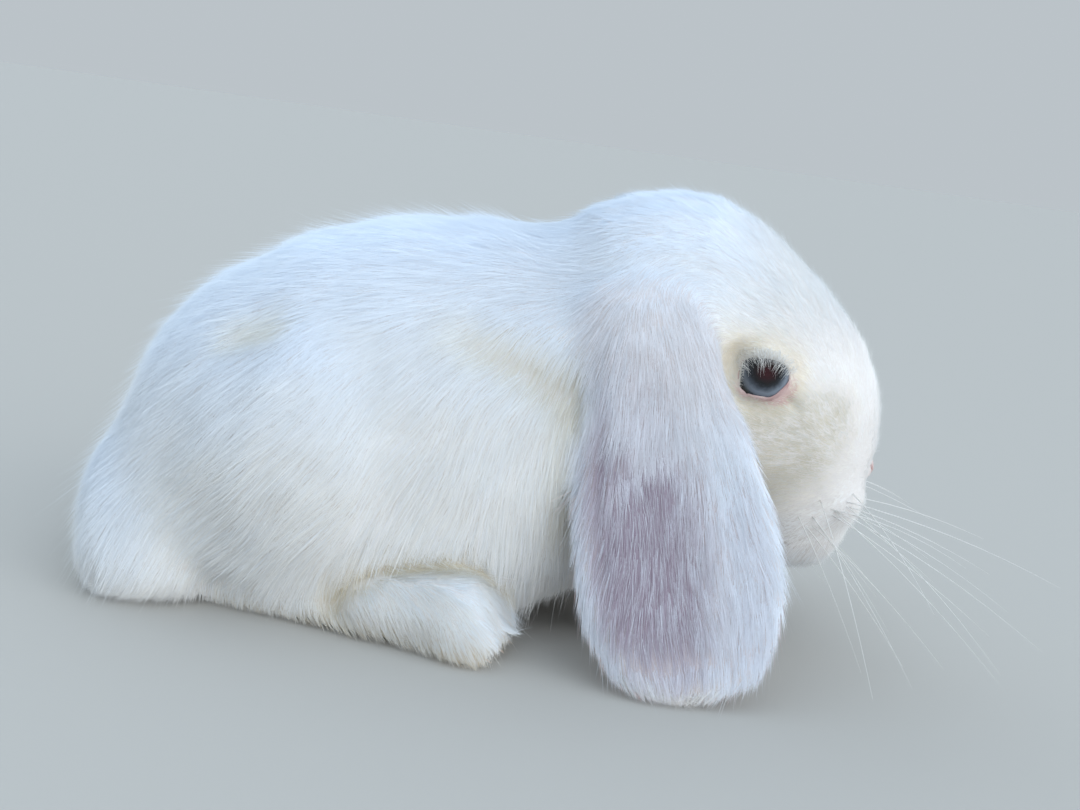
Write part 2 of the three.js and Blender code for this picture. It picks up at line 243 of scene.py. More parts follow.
# ---- Forms of the hide --------------------------------------------------------------------
# What the hide does over the skull and where it is loose: it hugs each bulging eyeball under a
# low brow, folds over the shoulder and the hind foot, rolls along the ear's edge, and is split
# from the nostrils to the mouth between two round lips.
GAZE = unit(np.array([-0.08, 0.97, 0.2]))
EYE_LONG = unit(np.cross(GAZE, np.array([0.04, 0.0, 1.0])))
EYE_UP = np.cross(EYE_LONG, GAZE)
LID_FRONT, LID_REAR, LID_UPPER, LID_LOWER = 7.2, 6.9, 5.0, 6.3


def lid_reach(angle):
    """How far the lids' edge is from the eye's middle at an angle up from its front corner."""
    c, s = np.cos(angle), np.sin(angle)
    long = np.where(c > 0, LID_FRONT, LID_REAR)
    tall = np.where(s > 0, LID_UPPER, LID_LOWER)
    squareness = np.where(c < 0, 3.4, np.where(s > 0, 2.4, 2.0))
    return 1 / ((np.abs(c) / long) ** squareness + (np.abs(s) / tall) ** squareness) ** (1 / squareness)


def eye_axes(side):
    """Centre, gaze, forward and upward axes of the eye on one side."""
    flip = np.array([1, side, 1])
    return EYE * flip, GAZE * flip, EYE_LONG * flip, EYE_UP * flip


lid_distance, lid_turn = np.full(len(skin), 99.0), np.zeros(len(skin))
for side in (1, -1):
    centre, gaze, forward, upward = eye_axes(side)
    away = skin - centre
    near = np.where((np.linalg.norm(away, axis=1) < 24) & (away @ gaze > 0))[0]
    along, out, up = away[near] @ forward, away[near] @ gaze, away[near] @ upward
    span = np.hypot(along, up)
    gap = span - lid_reach(np.arctan2(up, along))
    lid_distance[near], lid_turn[near] = gap, np.arctan2(up, along)
    cap = np.sqrt(np.maximum((EYE_RADIUS + 0.35) ** 2 - span**2, 0.0))
    cap = np.where(span < 7.4, cap, cap[span < 7.4].min() - (span - 7.4) * 0.55)
    brow = 1.5 * np.exp(-((up - 7.0) / 2.6) ** 2 - ((along + 0.5) / 8.0) ** 2)
    tear = -0.9 * np.exp(-((up + 6.8 + (along - 11) * 0.45) / 1.6) ** 2 - ((along - 11) / 4.0) ** 2)
    hug = 1 - ease(0.4, 6.5, gap)
    height = out + hug * (cap - out) + brow + tear
    inside = ease(-0.2, -1.2, gap)
    height = height - inside * 3.0
    skin[near] = centre + along[:, None] * forward + up[:, None] * upward + height[:, None] * gaze


def line_gap(across, up, line):
    """Distance from each point to a broken line in a side view, and how far along it that is."""
    best, where = np.full(len(across), 999.0), np.zeros(len(across))
    for k, ((x0, z0), (x1, z1)) in enumerate(zip(line[:-1], line[1:])):
        run, climb = x1 - x0, z1 - z0
        t = np.clip(((across - x0) * run + (up - z0) * climb) / (run * run + climb * climb), 0, 1)
        far = np.hypot(across - x0 - t * run, up - z0 - t * climb)
        where = np.where(far < best, (k + t) / (len(line) - 1), where)
        best = np.minimum(best, far)
    return best, where


# Folds of the loose hide: behind the neck over the shoulder, a dimple on the hip, and the
# crease where the flank hangs over the hind foot.
SCRUFF_FOLD = [(-27, 88), (-17, 84), (-4, 80), (7, 74.5), (12.5, 66), (12.5, 56)]
HIP_DIMPLE = [(-84, 77), (-72, 82.5)]
FOOT_CREASE = [(-53, 10), (-50, 16), (-41, 22), (-30, 24.5), (-18, 24.5), (-7, 21)]
x, y, z = (skin - BODY).T
flank_side = ease(18, 30, np.abs(y)) * (part != "ear") * (part != "head")
gap, where = line_gap(x, z, SCRUFF_FOLD)
fading = np.sin(np.clip(where * 0.95 + 0.04, 0, 1) * np.pi) ** 0.7  # towards both its ends
scruff = np.exp(-(gap / 5.0) ** 2) * flank_side * fading
scruff_bank = np.exp(-((gap - 6) / 4) ** 2) * flank_side * (x + z > 84)
dimple = np.exp(-(line_gap(x, z, HIP_DIMPLE)[0] / 3.3) ** 2) * flank_side
foot_crease = np.exp(-(line_gap(x, z, FOOT_CREASE)[0] / 3.0) ** 2) * ease(38, 46, np.abs(y))
normal = unit(spread(normals_of(skin), 3))
toe_end = (part == "hind_foot") * ease(-32, -17, x) * ease(30, 38, np.abs(y))
fold = 2.0 * scruff - 0.5 * scruff_bank + 1.5 * dimple + 3.4 * foot_crease - 2.2 * toe_end
skin = skin - normal * spread(fold, 2)[:, None]

# The ear's rear edge rolls out into a rim, with a groove inside it.
x, y, z = (skin - BODY).T
EAR_LEVELS = [10, 23, 42, 62, 81, 96]
EAR_MIDDLES, EAR_HALVES = [43, 40.5, 36.2, 31.5, 27, 24.5], [21.5, 27.4, 27.6, 24, 18.5, 16.5]
across_ear = (x - np.interp(z, EAR_LEVELS, EAR_MIDDLES)) / np.interp(z, EAR_LEVELS, EAR_HALVES)
ear_groove = np.exp(-((across_ear + 0.76) / 0.09) ** 2) * ease(20, 34, z) * ease(84, 66, z)
ear_groove = spread(ear_groove * (part == "ear") * (normal[:, 1] * np.sign(y) > 0.1), 1)
skin = skin - normal * (1.1 * ear_groove)[:, None]

# The nostrils, the split lip and the mouth are grooves in the front of the muzzle.
x, y, z = (skin - BODY).T
muzzle_front = ease(90, 97, x)
lip_split = np.exp(-(y / 0.75) ** 2) * ease(37.5, 40, z) * (1 - ease(50.5, 51.5, z)) * muzzle_front
nostril = np.exp(-((np.abs(y) - 1.0 - (z - 50) * 0.66) / 0.55) ** 2)
nostril *= ease(49.6, 50.6, z) * (1 - ease(54.6, 56.2, z)) * muzzle_front
mouth = np.exp(-((z - 37.2 - 0.045 * y * y) / 0.9) ** 2) * (np.abs(y) < 9) * muzzle_front
normal = unit(spread(normals_of(skin), 2))
carve = 1.0 * lip_split + 1.2 * nostril + 0.5 * mouth
skin = skin - normal * carve[:, None]
normal = normals_of(skin)

# ---- Colour of hide and hair --------------------------------------------------------------
# White all over, with painted sky light that turns upward-facing hair faintly cool; cream where feet and
# brow are stained; painted shade, creamier and darker, in the folds, in hollows and behind the ears; the
# thin-haired paddles of the ears let lilac pink skin through.


def linear(code):
    """An sRGB hex colour as linear red, green and blue."""
    c = np.array([int(code[i:i + 2], 16) for i in (1, 3, 5)]) / 255
    return np.where(c <= 0.04045, c / 12.92, ((c + 0.055) / 1.055) ** 2.4)


WHITE_HAIR, SKYLIT_HAIR = linear("#f0efeb"), linear("#e9f0f8")
CREAM_HAIR, STAINED_HAIR = linear("#efe6cd"), linear("#d8c08f")
FACE_WHITE, EAR_ROOT_GREY, GROOVE_MAUVE_SHADE = linear("#fdfcfa"), linear("#d8d0ce"), linear("#a98d9b")
EAR_WHITE, EAR_LILAC, INNER_EAR = linear("#e2e4ea"), linear("#a0929f"), linear("#e8cbc6")
PINK_HIDE, EAR_HIDE, NOSE_PINK = linear("#e4d6d0"), linear("#9d909e"), linear("#d8aaa4")
NOSTRIL_RED, LID_PINK = linear("#bd8b85"), linear("#d8b4b0")
UNDERFUR_SHADE = 0.93  # the down between the tufts lies in their shade


def mix(a, b, share):
    """Colour a turned share of the way to colour b."""
    return a + (b - a) * share[:, None]


def noise(points, size, seed):
    """A smooth field in -1..1: the mean of six sines along random directions of about that size."""
    dice = np.random.default_rng(seed)
    ways = unit(dice.normal(size=(6, 3))) * (2 * np.pi / size) * dice.uniform(0.6, 1.5, (6, 1))
    return np.sin(points @ ways.T + dice.uniform(0, 6.28, 6)).mean(1) * 1.6


x, y, z = (skin - BODY).T
is_ear = spread((part == "ear").astype(float), 4)
outward = normal[:, 1] * np.sign(y)
hair = np.tile(WHITE_HAIR, (len(skin), 1))
# Painted light: hair that faces up is turned to the cool tone of sky light falling on it, less so towards
# the face.
hair = mix(hair, SKYLIT_HAIR, ease(-0.1, 0.8, normal[:, 2]) * (1 - 0.7 * ease(40, 70, x)))
hair = mix(hair, FACE_WHITE, 0.97 * ease(38, 60, x) * (1 - is_ear) * ease(104, 84, z))
feet = spread(np.isin(part, ("hind_foot", "fore_paw")).astype(float), 5)
hair = mix(hair, CREAM_HAIR, 0.15 * feet)
hair = mix(hair, STAINED_HAIR, 0.8 * feet * ease(8.0, 1.5, z))
hair = mix(hair, CREAM_HAIR, 0.65 * np.exp(-((lid_distance - 3.0) / 4.5) ** 2))
# Painted shade in the folds of the neck, the hip and over the hind foot: the hair there is made creamier
# and darker where shade falls in them, most towards the ear's end of the neck fold; over the foot the tan
# is partly a real stain too.
hair = mix(hair, CREAM_HAIR, np.clip(0.65 * scruff + 0.5 * dimple + 0.9 * foot_crease, 0, 1))
hair = mix(hair, STAINED_HAIR, 0.4 * foot_crease)
hair = hair * (1 - (0.08 + 0.32 * where) * scruff - 0.05 * dimple - 0.18 * foot_crease)[:, None]
# Painted shade: the hair is darkened in the hollows at the nape, behind the thigh and under the jaw, and
# a little over the brow and on the flanks, where less light is made to fall.
nape = np.exp(-((x - 2) / 20) ** 2) * ease(84, 98, z) * (1 - is_ear)
thigh_hollow = np.exp(-((x + 74) / 20) ** 2 - ((z - 32) / 18) ** 2) * flank_side
forehead = ease(46, 62, x) * ease(80, 96, z) * (1 - is_ear)
jaw = ease(36, 24, z) * ease(66, 74, x) * (1 - is_ear)
painted_shade = 0.12 * nape + 0.11 * thigh_hollow + 0.07 * forehead + 0.24 * jaw + 0.04 * flank_side
hair = hair * (1 - painted_shade)[:, None]
behind_eye = np.exp(-(((x - 43) / 8) ** 2 + ((z - 84) / 11) ** 2)) * ease(12, 20, np.abs(y))
hair = mix(hair, CREAM_HAIR, 0.6 * behind_eye * (1 - is_ear))
patchy = noise(skin, 18, 41) + 0.5 * noise(skin * [1, 1, 0.4], 7, 42)
lilac_top = 62 + 6 * patchy
ear_share = is_ear * (0.25 * ease(98, 72, z) + 0.75 * ease(lilac_top + 3, lilac_top - 6, z))
thin_haired = 0.22 + 0.78 * np.exp(-((across_ear + 0.3 + 0.1 * patchy) / 0.52) ** 4)
thin_haired = thin_haired * ease(0.98, 0.76, np.abs(across_ear)) * (0.3 + 0.7 * ease(6, 22, z))
ear_middle = ear_share * ease(0.1, 0.6, outward) * thin_haired
hair = mix(hair, EAR_WHITE, 0.9 * is_ear * ease(116, 84, z))
hair = mix(hair, EAR_ROOT_GREY, 0.45 * is_ear * ease(70, 90, z) * ease(112, 100, z))
# The white front band of the ear, in the cool tone of painted sky light.
hair = mix(hair, SKYLIT_HAIR, 0.6 * is_ear * ease(0.35, 0.6, across_ear) * ease(80, 60, z))
hair = mix(hair, EAR_LILAC, np.clip(1.1 * ear_middle, 0, 1))
hair = mix(hair, CREAM_HAIR, 0.5 * is_ear * ease(12, 3, z))
# The groove inside the ear's rim: mauve skin showing through thin hair, darkened further as painted shade
# in the groove.
hair = mix(hair, GROOVE_MAUVE_SHADE, 0.5 * ear_groove)
hair = mix(hair, INNER_EAR, ear_share * ease(0.0, -0.5, outward))
hide = mix(hair, np.tile(PINK_HIDE, (len(skin), 1)), 0.3 + 0.3 * ear_share)
hide = mix(hide, EAR_HIDE, 0.9 * ear_middle)
# Painted shade on the neck behind each ear: the hair made creamier and darker where the ear shades it.
shade_behind_ear = ease(-4, 14, x) * ease(84, 72, z) * ease(30, 44, z) * ease(16, 26, np.abs(y))
shade_behind_ear = shade_behind_ear * (1 - is_ear)
hair = mix(hair, CREAM_HAIR, 0.7 * shade_behind_ear) * (1 - 0.17 * shade_behind_ear)[:, None]
nose_pad = np.exp(-(np.linalg.norm((skin - NOSE) / (5, 4.3, 3.8), axis=1)) ** 4)
hide = mix(hide, NOSE_PINK, np.maximum(nose_pad, 0.8 * np.clip(lip_split + nostril, 0, 1)))
hide = mix(hide, NOSTRIL_RED, 0.8 * nostril + 0.3 * lip_split)
lid_corner = np.exp(-((lid_turn + 0.5) / 0.6) ** 2)
below_lid = ease(0.15, -0.45, lid_turn) * ease(-3.0, -2.2, lid_turn)
bare_lid = ease(2.0, 0.6, lid_distance - 2.6 * lid_corner) * np.maximum(lid_corner, below_lid)
hide = mix(hide, LID_PINK, 0.8 * bare_lid)
hide = hide * UNDERFUR_SHADE


def add_node(tree, kind, links=(), **settings):
    """Adds a node; links are (input, source socket) and settings are attributes or input values."""
    node = tree.nodes.new(kind)
    for key, value in settings.items():
        if hasattr(node, key):
            setattr(node, key, value)
        else:
            node.inputs[key.replace("_", " ")].default_value = value
    for name, source in links:
        tree.links.new(source, node.inputs[name])
    return node


def new_material(name, **settings):
    """A material of one Principled shader; returns it, its tree and its shader."""
    made = bpy.data.materials.new(name)
    made.use_nodes = True
    shader = made.node_tree.nodes["Principled BSDF"]
    for key, value in settings.items():
        shader.inputs[key.replace("_", " ")].default_value = value
    return made, made.node_tree, shader


def new_piece(name, points, faces, material, colours=None, smooth=True):
    """A mesh in its place from points in mm, with its colours on its points."""
    mesh = bpy.data.meshes.new(name)
    if isinstance(faces, np.ndarray):
        mesh.vertices.add(len(points))
        mesh.vertices.foreach_set("co", (points * MM).astype(np.float32).ravel())
        mesh.loops.add(faces.size)
        mesh.loops.foreach_set("vertex_index", faces.astype(np.int32).ravel())
        mesh.polygons.add(len(faces))
        starts = np.arange(0, faces.size, faces.shape[1], dtype=np.int32)
        mesh.polygons.foreach_set("loop_start", starts)
        mesh.update(calc_edges=True)
    else:
        mesh.from_pydata((points * MM).tolist(), [], faces)
    if colours is not None:
        layer = mesh.color_attributes.new("hair", "FLOAT_COLOR", "POINT")
        layer.data.foreach_set("color", np.c_[colours, np.ones(len(points))].astype(np.float32).ravel())
    mesh.polygons.foreach_set("use_smooth", np.full(len(mesh.polygons), smooth))
    mesh.materials.append(material)
    piece = bpy.data.objects.new(name, mesh)
    bpy.context.scene.collection.objects.link(piece)
    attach(piece, "root")
    return piece


# Rabbit hide with its short underfur: soft and matt, its bump the lie of the finest hairs, drawn
# here 0.7 mm apart, coarser than they are, so that it shows.
hide_look, nodes, shader = new_material(
    "downy_hide", Roughness=0.85, Specular_IOR_Level=0.25, Sheen_Weight=0.3, Sheen_Roughness=0.5)
colour = add_node(nodes, "ShaderNodeAttribute", attribute_name="hair")
place = add_node(nodes, "ShaderNodeTexCoord")
down = add_node(nodes, "ShaderNodeTexNoise", [("Vector", place.outputs["Object"])],
                Scale=1.4 / MM, Detail=3.0, Roughness=0.6)
bump = add_node(nodes, "ShaderNodeBump", [("Height", down.outputs["Fac"])],
                Strength=0.35, Distance=0.0006)
nodes.links.new(colour.outputs["Color"], shader.inputs["Base Color"])
nodes.links.new(bump.outputs["Normal"], shader.inputs["Normal"])
body = new_piece("skin", skin, triangles, hide_look, hide)
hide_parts(*FLESH)

# The hide's own unwrap, on which every tuft's patch of colour has its place.
bpy.context.view_layer.objects.active = body
body.select_set(True)
bpy.ops.object.mode_set(mode="EDIT")
bpy.ops.mesh.select_all(action="SELECT")
bpy.ops.uv.smart_project(angle_limit=math.radians(66), island_margin=0.002)
bpy.ops.object.mode_set(mode="OBJECT")
body.select_set(False)
body.data.uv_layers[0].name = "OFBake"
unwrap = np.zeros(len(triangles) * 6, np.float32)
body.data.uv_layers["OFBake"].data.foreach_get("uv", unwrap)
unwrap = unwrap.reshape(-1, 3, 2)

# ---- Eyes ---------------------------------------------------------------------------------
# Wet eyeballs with a dull red-brown pupil, a blue-grey iris and a dark ring at its edge, each
# in a pink lid rim that is drawn out at its front corner.
eye_look, nodes, shader = new_material(
    "wet_eye", Roughness=0.1, IOR=1.38, Coat_Weight=0.25, Coat_Roughness=0.04)
ring = add_node(nodes, "ShaderNodeAttribute", attribute_name="ring")
place = add_node(nodes, "ShaderNodeTexCoord")
fibres = add_node(nodes, "ShaderNodeTexNoise", [("Vector", place.outputs["Object"])],
                  Scale=0.9 / MM, Detail=4.0)
wobble = add_node(nodes, "ShaderNodeMath", [(0, fibres.outputs["Fac"])], operation="MULTIPLY_ADD")
wobble.inputs[1].default_value = 0.08
wobble.inputs[2].default_value = -0.04
value = add_node(nodes, "ShaderNodeMath", [(0, ring.outputs["Fac"]), (1, wobble.outputs[0])],
                 operation="ADD")
stops = add_node(nodes, "ShaderNodeValToRGB", [("Fac", value.outputs[0])])
# From the pupil's middle out to the dark ring, by the share of a right angle from the gaze.
EYE_STOPS = ((0.0, "#390a12"), (0.17, "#29080e"), (0.27, "#121115"), (0.33, "#24272d"),
             (0.4, "#505761"), (0.48, "#7e8793"), (0.55, "#767e8a"), (0.59, "#424851"),
             (0.65, "#15161a"))
while len(stops.color_ramp.elements) < len(EYE_STOPS):
    stops.color_ramp.elements.new(0.5)
for stop, (at, code) in zip(stops.color_ramp.elements, EYE_STOPS):
    stop.position = at
    stop.color = (*linear(code), 1)
lid_shade = add_node(nodes, "ShaderNodeAttribute", attribute_name="lid_shade")
shaded = add_node(nodes, "ShaderNodeVectorMath",
                  [(0, stops.outputs["Color"]), ("Scale", lid_shade.outputs["Fac"])], operation="SCALE")
nodes.links.new(shaded.outputs[0], shader.inputs["Base Color"])

# Bare pink lid skin: damp, so faintly glossy, and unevenly flushed over some 4 mm.
lid_look, nodes, shader = new_material("bare_lid_rim", Roughness=0.35, Coat_Weight=0.3)
place = add_node(nodes, "ShaderNodeTexCoord")
flush = add_node(nodes, "ShaderNodeTexNoise", [("Vector", place.outputs["Object"])],
                 Scale=0.26 / MM, Detail=3.0)
tint = add_node(nodes, "ShaderNodeValToRGB", [("Fac", flush.outputs["Fac"])])
tint.color_ramp.elements[0].position = 0.35
tint.color_ramp.elements[0].color = (*linear("#b8928f"), 1)
tint.color_ramp.elements[1].position = 0.65
tint.color_ramp.elements[1].color = (*linear("#d6bab6"), 1)
nodes.links.new(tint.outputs["Color"], shader.inputs["Base Color"])


def torus_faces(rings, sides):
    """Quads of a grid of rings by sides that closes on itself both ways."""
    i, j = np.meshgrid(np.arange(rings), np.arange(sides), indexing="ij")
    a, b = (i + 1) % rings, (j + 1) % sides
    return np.stack([i * sides + j, a * sides + j, a * sides + b, i * sides + b], -1).reshape(-1, 4)


RIM_STEPS = 72
for name, side in (("left", 1), ("right", -1)):
    centre, gaze, forward, upward = eye_axes(side)
    globe, faces = ball(np.zeros(3), np.ones(3), 48, 32)
    look = unit(np.array([0.0, 0.15, 1.0]))  # the pupil looks a little up from the lids' middle
    angle = np.arccos(np.clip(globe @ look, -1, 1))
    shade_of_lid = 1 - 0.65 * ease(0.05, 0.6, globe[:, 1]) - 0.45 * ease(0.15, 0.75, -globe[:, 0])
    bulge = 1 + 0.035 * (1 - ease(0.2, 1.0, angle))  # the cornea stands a little proud
    globe = (globe * bulge[:, None] * EYE_RADIUS) @ np.stack([forward, upward, gaze]) + centre
    if np.dot(np.cross(forward, upward), gaze) < 0:
        faces = [f[::-1] for f in faces]
    eye = new_piece(f"eyeball_{name}", globe, faces, eye_look)
    layer = eye.data.attributes.new("ring", "FLOAT", "POINT")
    layer.data.foreach_set("value", (angle / (np.pi / 2)).astype(np.float32))
    layer = eye.data.attributes.new("lid_shade", "FLOAT", "POINT")
    layer.data.foreach_set("value", np.clip(shade_of_lid, 0.3, 1).astype(np.float32))
    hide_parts(f"eye_{name}")

    turn = np.arange(RIM_STEPS) * 2 * np.pi / RIM_STEPS
    reach = lid_reach(turn)
    # Across the rim: (out from the opening, above the eyeball), all the way round.
    rim = np.array([[-0.2, 0.0], [-0.1, 0.3], [0.3, 0.5], [0.8, 0.45], [1.3, 0.05], [1.1, -0.7],
                    [0.4, -0.8]])
    corner = np.exp(-((turn + 0.5 - 2 * np.pi * (turn > np.pi)) / 0.5) ** 2)[:, None]
    lower = (ease(0.1, -0.4, np.sin(turn)))[:, None]
    span = reach[:, None] + rim[:, 0] * (0.3 + 0.6 * lower + 1.6 * corner) - 0.6 * corner
    lift = np.sqrt(np.maximum((EYE_RADIUS + 0.1) ** 2 - span**2, 9.0)) + rim[:, 1]
    flat = (np.cos(turn)[:, None, None] * forward + np.sin(turn)[:, None, None] * upward)
    points = centre + span[..., None] * flat + lift[..., None] * gaze
    lids = new_piece(f"lid_rim_{name}", points.reshape(-1, 3), torus_faces(RIM_STEPS, len(rim)), lid_look)
    work = bmesh.new()
    work.from_mesh(lids.data)
    bmesh.ops.recalc_face_normals(work, faces=work.faces)
    work.to_mesh(lids.data)
    work.free()

# ---- Coat ---------------------------------------------------------------------------------
# Soft rollback fur: tapered tufts rooted in the hide, lying from the nose back over the crown,
# along the back and down the flanks, and fanning down the ears; shortest on face and feet.
x, y, z = (skin - BODY).T
side = np.sign(y)
flat = np.zeros_like(skin)
steep = 1 - np.clip(normal[:, 2], 0, 1)
rear = ease(-92, -122, x)
lie = {
    "trunk": np.stack([-(1 - steep) - 0.7 * ease(8, -72, x) * steep + 0.3 * rear, 0.05 * side,
                       -steep - 0.8 * rear], -1),
    "haunch": np.stack([-0.62 + 0 * x, 0.05 * side, -0.8 + 0 * x], -1),
    "tail": np.stack([-0.35 + 0 * x, -0.3 + 0 * x, -1 + 0 * x], -1),
    "hind_foot": np.stack([0.75 + 0 * x, 0.15 * side, -0.15 - 0.85 * steep], -1),
    "foreleg": np.stack([0.35 + 0 * x, 0 * x, -1 + 0 * x], -1),
    "fore_paw": np.stack([1 + 0 * x, 0 * x, -0.3 + 0 * x], -1),
}
lie["neck"] = np.stack([-(1 - steep) + 0.05 * steep, 0 * x, -steep], -1)
from_nose = unit(skin - NOSE)
lie["head"] = from_nose + np.stack([-0.5 * ease(70, 120, z), 0 * x, 0 * x], -1)
down_crown = np.stack([0.4 + 0 * x, 0.5 * side, -0.9 + 0 * x], -1)
lie["head"] += down_crown * (ease(48, 30, x) * ease(10, 30, np.abs(y)))[:, None]
lie["muzzle"] = from_nose
lie["nose"] = from_nose
apex = BODY + np.array([21.0, 38.0, 112.0])
lie["ear"] = unit(skin - (apex + [0, -14, 48]) * np.stack([1 + 0 * x, side, 1 + 0 * x], -1))
for name, field in lie.items():
    flat[part == name] = unit(field)[part == name]
for _ in range(40):
    flat = (flat + around(flat)) / 2
    flat = unit(flat - normal * np.sum(flat * normal, -1, keepdims=True))

# Of each part's tufts: length and width in mm, degrees off the hide, and how many to a mm2.
TUFTS = {"trunk": (10.5, 0.31, 7.0, 3.8), "haunch": (10.5, 0.31, 7.0, 3.8),
         "tail": (11.0, 0.33, 9.0, 4.0), "neck": (10.0, 0.31, 8.5, 3.9),
         "head": (4.4, 0.26, 10.0, 5.8), "muzzle": (2.6, 0.22, 13.0, 8.0),
         "nose": (1.1, 0.18, 12.0, 8.0), "ear": (9.0, 0.3, 6.5, 3.9),
         "hind_foot": (6.0, 0.31, 12.0, 3.8), "foreleg": (7.5, 0.35, 10.0, 2.4),
         "fore_paw": (3.8, 0.3, 14.0, 3.2)}
length, width, lift, thick = (spread(np.array([TUFTS[name][k] for name in part]), 10)
                              for k in range(4))
crown = spread((part == "head") * ease(92, 118, z), 5)
length, lift = length * (1 + 0.25 * crown), lift * (1 + 0.35 * crown)
hem = ease(34, 14, z) * ease(0.75, 0.2, np.abs(normal[:, 2]))
above_foot = ease(25, 28, z) * ease(40, 33, z) * ease(-52, -44, x) * ease(4, -6, x)
above_foot = above_foot * ease(34, 42, np.abs(y))
hem = spread(np.maximum(hem, above_foot) * np.isin(part, ("trunk", "haunch", "neck")), 3)
length, lift = length * (1 + 0.2 * hem), lift * (1 + 0.6 * hem)
sole = feet * ease(10, 4, z)
length, lift = length * (1 + 0.45 * sole), lift + 7 * sole
on_face = spread(np.isin(part, ("head", "muzzle")).astype(float), 5)
clumping = 0.16 + 0.25 * hem + 0.4 * sole + 0.4 * is_ear * ease(70, 50, z) + 0.18 * on_face
skirt = hem * ease(-84, -100, x) * ease(30, 12, z)
length, lift = length * (1 + 0.9 * skirt), lift * (1 - 0.3 * skirt)
# Where the body meets the floor its hair splays outwards in locks.
splay = ease(14, 3, z) * ease(0.85, 0.6, np.abs(normal[:, 2]))
splay = spread(splay * np.isin(part, ("trunk", "haunch", "tail")), 3)
length, lift, clumping = length * (1 + 0.2 * splay), lift + 13 * splay, clumping + 0.35 * splay
streaks = 0.03 + 0.04 * hem + 0.07 * is_ear + 0.015 * on_face
thin = np.clip(ear_middle, 0, 1)
length = length * (1 + 0.2 * is_ear * ease(70, 50, z))
under_jaw = ease(-0.2, -0.7, normal[:, 2]) * np.isin(part, ("head", "muzzle"))
length, lift = length * (1 + 0.8 * under_jaw), lift + 10 * under_jaw
near_eye = ease(9, 1, lid_distance)
length = length * (1 - 0.5 * near_eye)
bare = np.exp(-((lid_turn + 0.55) / 0.6) ** 2)
thick[lid_distance < -0.1 + 2.2 * bare + 0.6 * below_lid] = 0
thick = thick * (1 - 0.96 * ease(0.25, 0.6, nose_pad))
thick = thick * (1 - 0.45 * ear_middle) * (1 - 0.5 * ear_share * ease(0.0, -0.6, outward))
thick[(z < 1.0) & (normal[:, 2] < -0.7)] = 0.0
hidden_belly = ease(-0.4, -0.8, normal[:, 2]) * ease(40, 20, z) * ease(-92, -78, x)
thick = thick * (1 - 0.5 * hidden_belly)

corner_area = np.linalg.norm(np.cross(skin[triangles[:, 1]] - skin[triangles[:, 0]],
                                      skin[triangles[:, 2]] - skin[triangles[:, 0]]), axis=1) / 2
surface = KDTree(len(skin))
for k, point in enumerate(skin.tolist()):
    surface.insert(point, k)
surface.balance()
SPIKE = np.array([[0, 1, 3], [1, 2, 3], [2, 0, 3], [2, 1, 0]])
# Places of each face's corners on the tuft's own patch, side by side, the buried end last.
PATCH = 0.003
patch = np.array([[[0, 0], [1 / 3, 0], [1 / 6, 1]], [[1 / 3, 0], [2 / 3, 0], [1 / 2, 1]],
                  [[2 / 3, 0], [1, 0], [5 / 6, 1]], [[0.2, 0.6], [0.4, 0.6], [0.3, 1]]])
patch = (patch - 0.5) * PATCH

# Rabbit fur: fine dry hairs that scatter light without gloss, with painted shade making them a little
# darker at their roots, and clouded over some 14 mm.
hair_look, nodes, shader = new_material(
    "rabbit_fur", Roughness=0.9, Specular_IOR_Level=0.0)
colour = add_node(nodes, "ShaderNodeAttribute", attribute_name="hair")
along = add_node(nodes, "ShaderNodeAttribute", attribute_name="along")
place = add_node(nodes, "ShaderNodeTexCoord")
mottle = add_node(nodes, "ShaderNodeTexNoise", [("Vector", place.outputs["Object"])],
                  Scale=0.07 / MM, Detail=4.0, Roughness=0.6)
shade = add_node(nodes, "ShaderNodeMapRange", [("Value", along.outputs["Fac"])],
                 To_Min=0.96, To_Max=1.0)
cloud = add_node(nodes, "ShaderNodeMapRange", [("Value", mottle.outputs["Fac"])],
                 From_Min=0.3, From_Max=0.7, To_Min=0.96, To_Max=1.02)
both = add_node(nodes, "ShaderNodeMath", [(0, shade.outputs[0]), (1, cloud.outputs[0])],
                operation="MULTIPLY")
tinted = add_node(nodes, "ShaderNodeVectorMath",
                  [(0, colour.outputs["Color"]), ("Scale", both.outputs[0])], operation="SCALE")
nodes.links.new(tinted.outputs[0], shader.inputs["Base Color"])
FLOOR = 0.25  # mm, the lowest that a hair lies
ROOT_DEPTH = 0.5  # mm that a tuft's root is set into the hide
FLATNESS = 0.28  # of a tuft's thickness to its width
MOST_TUFTS = 49900  # to a piece, which keeps it under 200,000 triangles
STRAY_SHARE, STRAY_RISE = 0.07, 19  # of hairs that stand off, and degrees
LOCK_REACH = 3.0  # mm over which a lock's leader draws its neighbours


